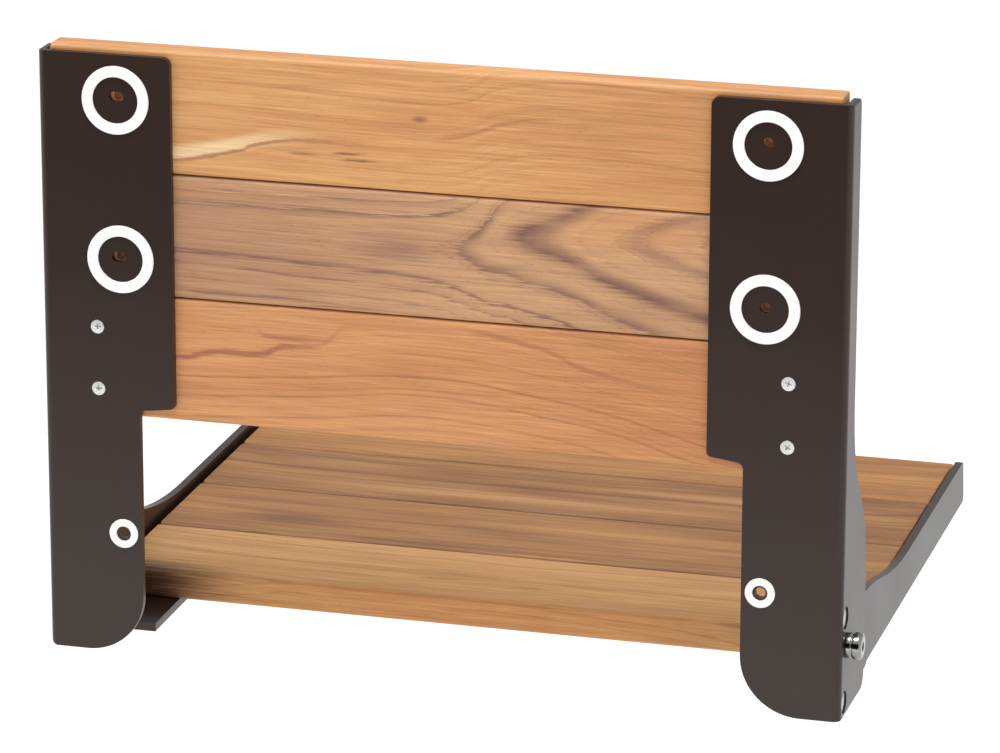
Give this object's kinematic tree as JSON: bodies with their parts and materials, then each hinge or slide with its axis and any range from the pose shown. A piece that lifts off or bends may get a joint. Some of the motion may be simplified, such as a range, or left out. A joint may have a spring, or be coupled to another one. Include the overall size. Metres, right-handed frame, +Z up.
{
  "type": "wall-mounted folding shower seat",
  "caption": "Fold-up shower seat with a slatted timber seat and back, on two bent plate wall brackets with a pivot bolt each.",
  "frame": {"origin": "midway between the centres of the two lower wall holes, on the brackets' back plane", "axes": "+X to the sitter's left, along the wall and the hinge; +Y into the wall, so the seat comes out along -Y; +Z up"},
  "size_m": [0.4994, 0.4139, 0.3737],
  "materials": {
    "bronze_coat": "dark bronze powder coat, satin",
    "teak": "oiled teak",
    "dowel_wood": "plain hardwood dowel",
    "seal_foam": "white closed-cell foam",
    "polished_steel": "polished",
    "screw_steel": "plain stainless",
    "rivet_steel": "satin stainless",
    "spring_steel": "spring steel",
    "pad_plastic": "white low-friction plastic sheet",
    "bushing_plastic": "black bearing plastic",
    "bumper_rubber": "black rubber"
  },
  "bodies": {
    "wall_frame": {"left_wall_bracket": "bronze_coat", "right_wall_bracket": "bronze_coat", "back_slat_bottom": "teak", "back_slat_middle": "teak", "back_slat_top": "teak", "lower_back_dowels": "dowel_wood", "upper_back_dowels": "dowel_wood", "left_back_slat_screws": "screw_steel", "left_upper_seal_ring": "seal_foam", "left_middle_seal_ring": "seal_foam", "left_lower_seal_ring": "seal_foam", "left_pivot_bolt": "polished_steel", "left_hinge_washer": "screw_steel", "left_disc_springs": "spring_steel", "left_lock_nut": "screw_steel", "left_hinge_pad": "pad_plastic", "left_pad_rivets": "rivet_steel", "left_stop_pad": "bumper_rubber", "right_back_slat_screws": "screw_steel", "right_upper_seal_ring": "seal_foam", "right_middle_seal_ring": "seal_foam", "right_lower_seal_ring": "seal_foam", "right_pivot_bolt": "polished_steel", "right_hinge_washer": "screw_steel", "right_disc_springs": "spring_steel", "right_lock_nut": "screw_steel", "right_hinge_pad": "pad_plastic", "right_pad_rivets": "rivet_steel", "right_stop_pad": "bumper_rubber"},
    "seat": {"left_seat_arm": "bronze_coat", "left_seat_slat_screws": "screw_steel", "left_pivot_bushing": "bushing_plastic", "right_seat_arm": "bronze_coat", "right_seat_slat_screws": "screw_steel", "right_pivot_bushing": "bushing_plastic", "rear_seat_slat": "teak", "second_seat_slat": "teak", "third_seat_slat": "teak", "front_seat_slat": "teak"}
  },
  "joints": [
    {"name": "seat_fold", "type": "hinge", "parent": "wall_frame", "child": "seat", "pos_m": [0, -0.015, -0.0324], "axis": [-1, 0, 0], "range_deg": [0, 89.25]}
  ]
}
